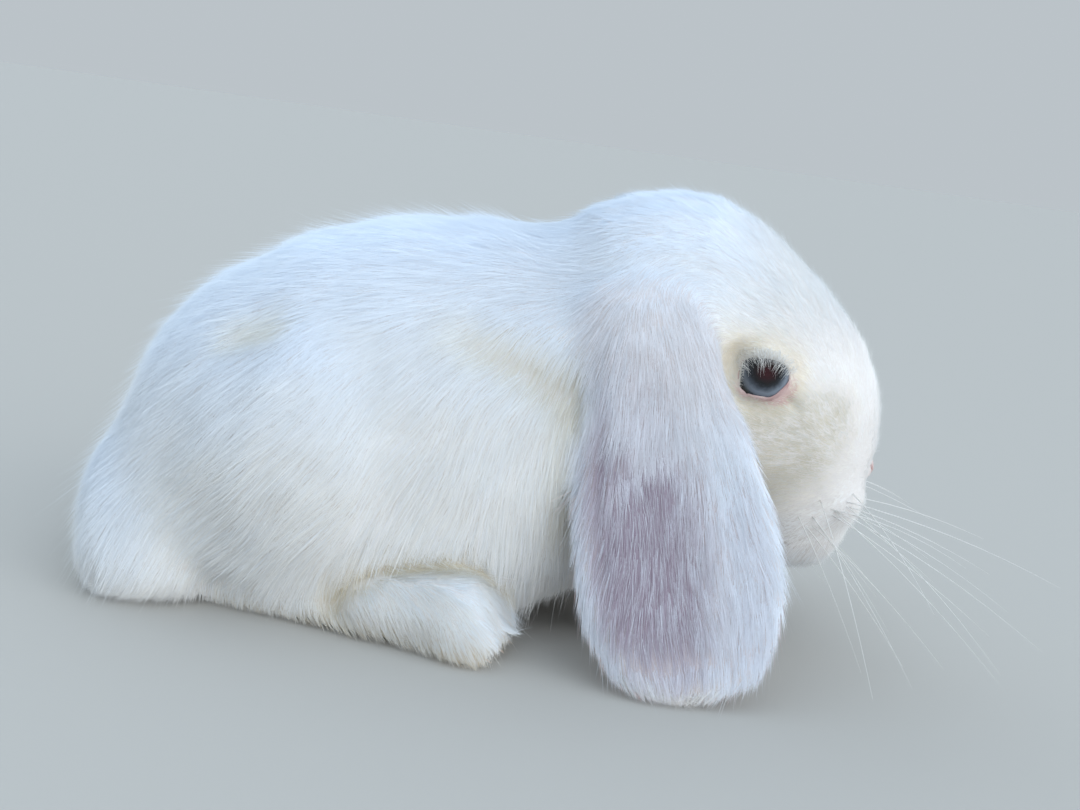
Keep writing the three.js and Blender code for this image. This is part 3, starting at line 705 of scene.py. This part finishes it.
def grow_coat(name, where, seed, crowd=14):
    """Tufts rooted at random over the triangles of a mask, by their density.

    A tuft is a thin closed spike: three corners round the root, set 0.5 mm into the hide, and
    a tip at root + L (cos l flow + sin l normal), a little down, so that it overlaps the next.
    """
    dice = np.random.default_rng(seed)
    weight = corner_area * thick[triangles].mean(1) * where[triangles].mean(1)
    count = min(int(weight.sum()), MOST_TUFTS) // 1
    chosen = np.sort(dice.choice(len(triangles), count, p=weight / weight.sum()))
    a, b = dice.random(count), dice.random(count)
    fold = a + b > 1
    a[fold], b[fold] = 1 - a[fold], 1 - b[fold]
    share = np.stack([1 - a - b, a, b], -1)[..., None]
    ids = triangles[chosen]
    root, up = (skin[ids] * share).sum(1), unit((normal[ids] * share).sum(1))
    flow, tint = (flat[ids] * share).sum(1), (hair[ids] * share).sum(1)
    spot = (unwrap[chosen] * share).sum(1)
    long, wide, rise = ((field[ids] * share[..., 0]).sum(1) for field in (length, width, lift))

    turn = np.radians(9 * noise(root, 19, 5) + 5 * noise(root, 5, 6) + dice.normal(0, 5, count))
    flow = unit(flow - up * np.sum(flow * up, -1, keepdims=True))
    across = np.cross(flow, up)
    flow = unit(np.cos(turn)[:, None] * flow + np.sin(turn)[:, None] * across)
    long = long * np.clip(dice.normal(1, 0.2, count), 0.5, 1.5) * (1 + 0.15 * noise(root, 11, 7))
    wide = wide * dice.uniform(0.75, 1.2, count)
    rise = np.radians(np.clip(rise * (1 + 0.3 * noise(root, 8, 8)) + dice.normal(0, 3.5, count), 3, 45))
    stray = dice.random(count) < STRAY_SHARE
    rise = rise + np.radians(STRAY_RISE) * stray
    wide, long = wide * (1 - 0.35 * stray), long * (1 + 0.25 * stray)
    way = unit(np.cos(rise)[:, None] * flow + np.sin(rise)[:, None] * up - [0, 0, 0.04])
    tip = root + way * long[:, None]

    centres = np.arange(0, count, crowd)
    finder = KDTree(len(centres))
    for k, i in enumerate(centres):
        finder.insert(root[i], k)
    finder.balance()
    lock = np.array([finder.find(point)[1] for point in root.tolist()])
    leader = centres[lock]
    pull = np.exp(-(np.linalg.norm(root - root[leader], axis=1) / LOCK_REACH) ** 2)
    pull = pull * (clumping[ids] * share[..., 0]).sum(1) * ease(0.5, 0.9, np.sum(up * up[leader], 1))
    tip = tip + pull[:, None] * (tip[leader] + (root - root[leader]) * 0.3 - tip)
    # Combed onto the hide: no tip is sunk in it where it rises ahead, or stands far off a bend.
    near = np.array([surface.find(point)[1] for point in tip.tolist()])
    height = np.clip(np.sum((tip - skin[near]) * normal[near], 1), -3, 9)
    wanted = np.clip(height, 0.45 + 0.055 * long, 0.6 + 0.08 * long + 0.6 * long * np.sin(rise))
    tip = tip + normal[near] * (wanted - height)[:, None]
    base = root - up * ROOT_DEPTH
    # A tuft that would pass through the floor is cut short above it.
    kept = np.clip((base[:, 2] - FLOOR) / np.maximum(base[:, 2] - tip[:, 2], 1e-6), 0.3, 1)
    tip = np.where((tip[:, 2] < FLOOR)[:, None], base + kept[:, None] * (tip - base), tip)
    tip[:, 2] = np.maximum(tip[:, 2], FLOOR)

    stem = unit(tip - base)
    across = unit(np.cross(stem, up))
    over = np.cross(across, stem)
    turns = np.radians([90, 210, 330])
    ring = np.cos(turns)[:, None, None] * across + FLATNESS * np.sin(turns)[:, None, None] * over
    ring = ring.transpose(1, 0, 2) * (wide / 2)[:, None, None]
    points = np.concatenate([base[:, None] + ring, tip[:, None]], 1)
    points[:, :, 2] = np.maximum(points[:, :, 2], FLOOR - 0.1)
    bulge = np.concatenate([unit(ring) * 0.16, stem[:, None] * 0.08], 1)
    facing = unit(0.4 * up + 0.6 * over)
    shading = unit(facing[:, None] + bulge + dice.normal(0, 0.02, (count, 1, 3)))
    points = points.reshape(-1, 3)
    faces = (SPIKE[None] + 4 * np.arange(count)[:, None, None]).reshape(-1, 3)
    a, b, c = points[faces[0]]
    flipped = np.dot(np.cross(b - a, c - a), (a + b + c) / 3 - points[:4].mean(0)) < 0
    places = patch[:, ::-1] if flipped else patch
    faces = faces[:, ::-1] if flipped else faces
    # The sides are lit as the coat's own surface is, and the underside as it really faces.
    corners = shading[:, SPIKE[:, ::-1] if flipped else SPIKE]
    corners[:, 1] = -over[:, None]
    streak = (streaks[ids] * share[..., 0]).sum(1) * dice.uniform(-1, 1, len(centres))[lock]
    tint = tint * (1 + streak)[:, None]
    white = 0.25 * (thin[ids] * share[..., 0]).sum(1) * dice.random(len(centres))[lock] ** 2
    white = white + 0.6 * dice.random(count) ** 2.2
    tint = tint + np.maximum(SKYLIT_HAIR - tint, 0) * np.minimum(white, 1)[:, None]
    tone = np.repeat(np.clip(tint * dice.uniform(0.97, 1.03, (count, 1)), 0, 0.95), 4, axis=0)
    piece = new_piece(name, points, np.ascontiguousarray(faces), hair_look, tone)
    mesh = piece.data
    layer = mesh.attributes.new("along", "FLOAT", "POINT")
    layer.data.foreach_set("value", np.tile(np.float32([0, 0, 0, 1]), count))
    layer = mesh.uv_layers.new(name="OFBake")
    places = (spot[:, None, None] + places[None]).astype(np.float32)
    layer.data.foreach_set("uv", places.ravel())
    mesh.normals_split_custom_set(corners.reshape(-1, 3).tolist())
    piece.visible_shadow = False  # light sifts through real fur, which hardly shades itself
    return piece


right, left = (y < 0).astype(float), (y >= 0).astype(float)
on = {name: (part == name).astype(float) for name in TUFTS}
crest = ease(0.25, 0.5, normal[:, 2])
behind = ease(-46, -52, x)
low_side = on["trunk"] * (1 - crest) * (1 - ease(-88, -94, x))
face = on["head"] + on["muzzle"] + on["nose"]
ahead = ease(43, 48, x)
grow_coat("coat_back", on["trunk"] * crest * (1 - behind), 11)
grow_coat("coat_rump", on["trunk"] * np.maximum(crest * behind, ease(-88, -94, x)), 12)
grow_coat("coat_flank_right", low_side * right, 13)
grow_coat("coat_flank_left", low_side * left, 14)
grow_coat("coat_haunch_right", on["haunch"] * right, 15)
grow_coat("coat_haunch_left", on["haunch"] * left, 16)
grow_coat("coat_tail", on["tail"], 17)
grow_coat("coat_neck", on["neck"] + on["foreleg"], 18)
grow_coat("coat_face_right", face * right * ahead, 19)
grow_coat("coat_face_left", face * left * ahead, 20)
grow_coat("coat_crown_right", face * right * (1 - ahead), 24)
grow_coat("coat_crown_left", face * left * (1 - ahead), 25)
grow_coat("coat_ear_right", on["ear"] * right, 21, crowd=9)
grow_coat("coat_ear_left", on["ear"] * left, 22, crowd=9)
grow_coat("coat_feet", on["hind_foot"] + on["fore_paw"], 23)

# ---- Whiskers and lashes ------------------------------------------------------------------
# Stiff tapered horn hairs: fans from the upper lips, and white lashes over each eye.
hair_horn, nodes, shader = new_material("whisker_horn", Roughness=0.4, Specular_IOR_Level=0.5)
place = add_node(nodes, "ShaderNodeTexCoord")
streak = add_node(nodes, "ShaderNodeTexNoise", [("Vector", place.outputs["Object"])], Scale=0.12 / MM)
tint = add_node(nodes, "ShaderNodeValToRGB", [("Fac", streak.outputs["Fac"])])
tint.color_ramp.elements[0].color = (*linear("#e8e5e0"), 1)
tint.color_ramp.elements[1].color = (*linear("#fbfaf7"), 1)
nodes.links.new(tint.outputs["Color"], shader.inputs["Base Color"])


def bristles(roots, ways, lengths, droops, radius, steps=9, sides=5):
    """Rods along p(t) = root + L t way - droop t^2 z, their radius falling as (1 - 0.85 t).

    One that comes down to the floor lies along it.
    """
    t = np.linspace(0, 1, steps)[None, :, None]
    path = roots[:, None] + ways[:, None] * lengths[:, None, None] * t
    path = path - np.array([0, 0, 1.0]) * droops[:, None, None] * t**2
    path[:, :, 2] = np.maximum(path[:, :, 2], 2 * FLOOR)
    ahead = unit(np.gradient(path, axis=1))
    across = unit(np.cross(ahead, np.array([0.13, 0.31, 0.94])))
    over = np.cross(across, ahead)
    turn = (np.arange(sides) * 2 * np.pi / sides)[:, None]
    ring = np.cos(turn) * across[:, :, None] + np.sin(turn) * over[:, :, None]
    points = path[:, :, None] + ring * (radius * (1 - 0.85 * t))[..., None]
    count = len(roots)
    each = steps * sides
    points = points.reshape(count, each, 3)
    i, j = np.meshgrid(np.arange(steps - 1), np.arange(sides), indexing="ij")
    k = (j + 1) % sides
    quads = np.stack([i * sides + j, i * sides + k, (i + 1) * sides + k, (i + 1) * sides + j], -1)
    quads = (quads.reshape(1, -1, 4) + each * np.arange(count)[:, None, None]).reshape(-1, 4)
    caps = [[r * each + s for s in cap] for r in range(count)
             for cap in (range(sides)[::-1], range(each - sides, each))]
    return points.reshape(-1, 3), quads.tolist() + caps


# Degrees outwards, degrees below the horizontal, length and droop of each in mm.
WHISKERS = np.array([
    [16, 4, 62, 6], [26, 14, 64, 7], [12, 22, 54, 5], [34, 26, 60, 6], [50, 18, 58, 8],
    [64, 26, 52, 5], [86, 22, 66, 6], [20, -2, 40, 7], [40, 6, 50, 6], [30, 38, 44, 4],
    [60, 40, 44, 4], [74, 12, 48, 6], [24, 30, 50, 5], [46, 34, 36, 3], [8, 10, 44, 4]])
WHISKER_RADIUS, LASH_RADIUS, LASHES = 0.165, 0.08, 220
dice = np.random.default_rng(31)
for name, side in (("left", 1), ("right", -1)):
    flip = np.array([1, side, 1])
    out, below = np.radians(WHISKERS[:, 0]), np.radians(WHISKERS[:, 1])
    ways = np.stack([np.cos(out) * np.cos(below), np.sin(out) * np.cos(below), -np.sin(below)], -1)
    # The lower a whisker points, the further back and down it is rooted.
    low_down = ease(12, 44, WHISKERS[:, 1])
    along_lip = -14 * low_down + dice.uniform(-7, 4, len(out))
    up_lip = -9 * low_down + dice.uniform(-5, 7, len(out))
    spots = WHISKER_BED + np.stack([along_lip, 0 * out, up_lip], -1)
    rooted = np.array([surface.find(point)[1] for point in (spots * flip).tolist()])
    roots = (skin[rooted] - normal[rooted] * 0.6) * flip
    points, faces = bristles(roots * flip, ways * flip, WHISKERS[:, 2] * 1.04, WHISKERS[:, 3] * 1.5,
                             WHISKER_RADIUS)
    fan = new_piece(f"whisker_fan_{name}", points, faces, hair_horn)
    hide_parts(f"whiskers_{name}")

    centre, gaze, forward, upward = eye_axes(side)
    turn = np.radians(np.linspace(15, 215, LASHES))
    over_eye = ease(-0.2, 0.5, np.sin(turn))
    reach = lid_reach(turn) + dice.uniform(0.1, 2.8, LASHES) * over_eye
    outwards = np.cos(turn)[:, None] * forward + np.sin(turn)[:, None] * upward
    height = np.sqrt(np.maximum(EYE_RADIUS**2 - lid_reach(turn) ** 2, 4)) + 0.5 + 0.9 * over_eye
    roots = centre + reach[:, None] * outwards + height[:, None] * gaze
    ways = unit(gaze * 0.55 - outwards * 0.75 + dice.normal(0, 0.28, (LASHES, 3)))
    long = dice.uniform(1.8, 6.2, LASHES) * (0.35 + 0.65 * over_eye)
    points, faces = bristles(roots, ways, long, 0.35 * long * over_eye, LASH_RADIUS, steps=5, sides=3)
    lashes = new_piece(f"lashes_{name}", points, faces, hair_horn)

# ---- Claws --------------------------------------------------------------------------------
# Pale horn claws, one on each toe, curving down out of the foot's fur and just off the floor.
claw_look, nodes, shader = new_material("claw_horn", Roughness=0.35, Coat_Weight=0.2)
place = add_node(nodes, "ShaderNodeTexCoord")
layers = add_node(nodes, "ShaderNodeTexNoise", [("Vector", place.outputs["Object"])], Scale=0.5 / MM)
tint = add_node(nodes, "ShaderNodeValToRGB", [("Fac", layers.outputs["Fac"])])
tint.color_ramp.elements[0].color = (*linear("#bda493"), 1)
tint.color_ramp.elements[1].color = (*linear("#e3d3c4"), 1)
nodes.links.new(tint.outputs["Color"], shader.inputs["Base Color"])


def claw(root, heading, size, steps=7, sides=8):
    """A curved cone: p(t) = root + L (t heading - 0.35 t^2 z), its radius 0.17 L (1 - t^1.6)."""
    t = np.linspace(0, 1, steps)
    ahead = np.array([math.cos(heading), math.sin(heading), 0.0])
    path = root + size * (t[:, None] * ahead - 0.35 * (t**2)[:, None] * np.array([0, 0, 1]))
    along = unit(np.gradient(path, axis=0))
    across = np.cross(along, [0, 0, 1.0])
    over = np.cross(across, along)
    turn = np.arange(sides) * 2 * np.pi / sides
    ring = (0.7 * np.cos(turn)[:, None] * across[:, None] + np.sin(turn)[:, None] * over[:, None])
    points = path[:, None] + ring * (size * 0.17 * (1.02 - t**1.6))[:, None, None]
    i, j = np.meshgrid(np.arange(steps - 1), np.arange(sides), indexing="ij")
    k = (j + 1) % sides
    quads = np.stack([i * sides + j, i * sides + k, (i + 1) * sides + k, (i + 1) * sides + j], -1)
    last = (steps - 1) * sides
    caps = [list(range(sides))[::-1], list(range(last, last + sides))]
    return points.reshape(-1, 3), quads.reshape(-1, 4).tolist() + caps


# Of each row of toes: its middle, yaw in degrees, spacing, reach of a toe and claw length.
TOES = {"hind": ((-12.0, 49.0, 3.2), 13, 8.8, 5.4, 4.6),
        "fore": ((60.0, 18.6, 2.8), -10, 5.4, 4.4, 3.6)}
for name, ((toe_x, toe_y, toe_z), yaw, spacing, reach, size) in TOES.items():
    for side_name, side in (("left", 1), ("right", -1)):
        points, faces = [], []
        for k in (-1.5, -0.5, 0.5, 1.5):
            step, turned = k * spacing, math.radians(yaw)
            front = reach - 0.19 * abs(step)
            root = np.array([toe_x + front * math.cos(turned) - step * math.sin(turned),
                             toe_y + front * math.sin(turned) + step * math.cos(turned), toe_z])
            more, made = claw(root, turned, size)
            faces += [[i + sum(map(len, points)) for i in f] for f in made]
            points.append(more)
        points = (np.concatenate(points) + BODY) * (1, side, 1)
        faces = [f[::-1] for f in faces] if side < 0 else faces
        claws = new_piece(f"claws_{name}_{side_name}", points, faces, claw_look)

# ---- Floor, light and camera --------------------------------------------------------------
# A pale floor under soft light from above, and the camera low on the animal's right side.
floor_look, nodes, shader = new_material("pale_floor", Roughness=0.9, Specular_IOR_Level=0.2)
shader.inputs["Base Color"].default_value = (*linear("#bab7b1"), 1)
FLOOR_HALF = 30000.0  # mm
corners = np.array([[-1, -1, 0], [1, -1, 0], [1, 1, 0], [-1, 1, 0]]) * FLOOR_HALF
ground = bpy.data.meshes.new("floor")
ground.from_pydata((corners * MM).tolist(), [], [[0, 1, 2, 3]])
ground.materials.append(floor_look)
floor = bpy.data.objects.new("floor", ground)
bpy.context.scene.collection.objects.link(floor)

TARGET = BODY + np.array([0.0, 0.0, 59.6])


def lamp(name, place, width, power, colour):
    """A soft light from the side of a place in mm, as many degrees wide, even over the floor."""
    data = bpy.data.lights.new(name, "SUN")
    data.angle = math.radians(width)
    data.energy = power
    data.color = colour
    made = bpy.data.objects.new(name, data)
    bpy.context.scene.collection.objects.link(made)
    made.location = Vector(np.array(place) * MM)
    aim = Vector(TARGET * MM) - made.location
    made.rotation_euler = aim.to_track_quat("-Z", "Y").to_euler()
    made.visible_glossy = False
    made.visible_camera = False


lamp("top_light", (-100, -200, 1800), 130, 1.4, (0.62, 0.84, 1.1))
lamp("far_light", (-900, 1400, 500), 80, 0.8, (0.86, 0.94, 1.0))
lamp("near_light", (1150, -1250, 420), 80, 1.86, (0.97, 0.985, 1.0))
world = bpy.data.worlds.new("studio")
bpy.context.scene.world = world
world.use_nodes = True
world.node_tree.nodes["Background"].inputs["Color"].default_value = (0.86, 0.94, 1.0, 1)
world.node_tree.nodes["Background"].inputs["Strength"].default_value = 0.58
bpy.context.scene.view_settings.view_transform = "Standard"

AZIMUTH, ELEVATION, ROLL = (math.radians(a) for a in (-4, 11, 8))
DISTANCE, SCALE = 420.0, 0.3  # mm to the target, and mm there per 1/1080 of the frame's width
back = Vector((math.sin(AZIMUTH) * math.cos(ELEVATION), -math.cos(AZIMUTH) * math.cos(ELEVATION),
               math.sin(ELEVATION)))
across = (-back).cross(Vector((0, 0, 1))).normalized()
upright = across.cross(-back)
turned = math.cos(ROLL) * across + math.sin(ROLL) * upright
upright = -math.sin(ROLL) * across + math.cos(ROLL) * upright
view = bpy.data.cameras.new("camera")
view.sensor_width = 36.0
view.lens = 36.0 * DISTANCE / SCALE / 1080
view.clip_start = 0.01
camera = bpy.data.objects.new("camera", view)
bpy.context.scene.collection.objects.link(camera)
axes = Matrix((turned, upright, back)).transposed().to_4x4()
camera.matrix_world = Matrix.Translation(Vector(TARGET * MM) + back * DISTANCE * MM) @ axes
bpy.context.scene.camera = camera
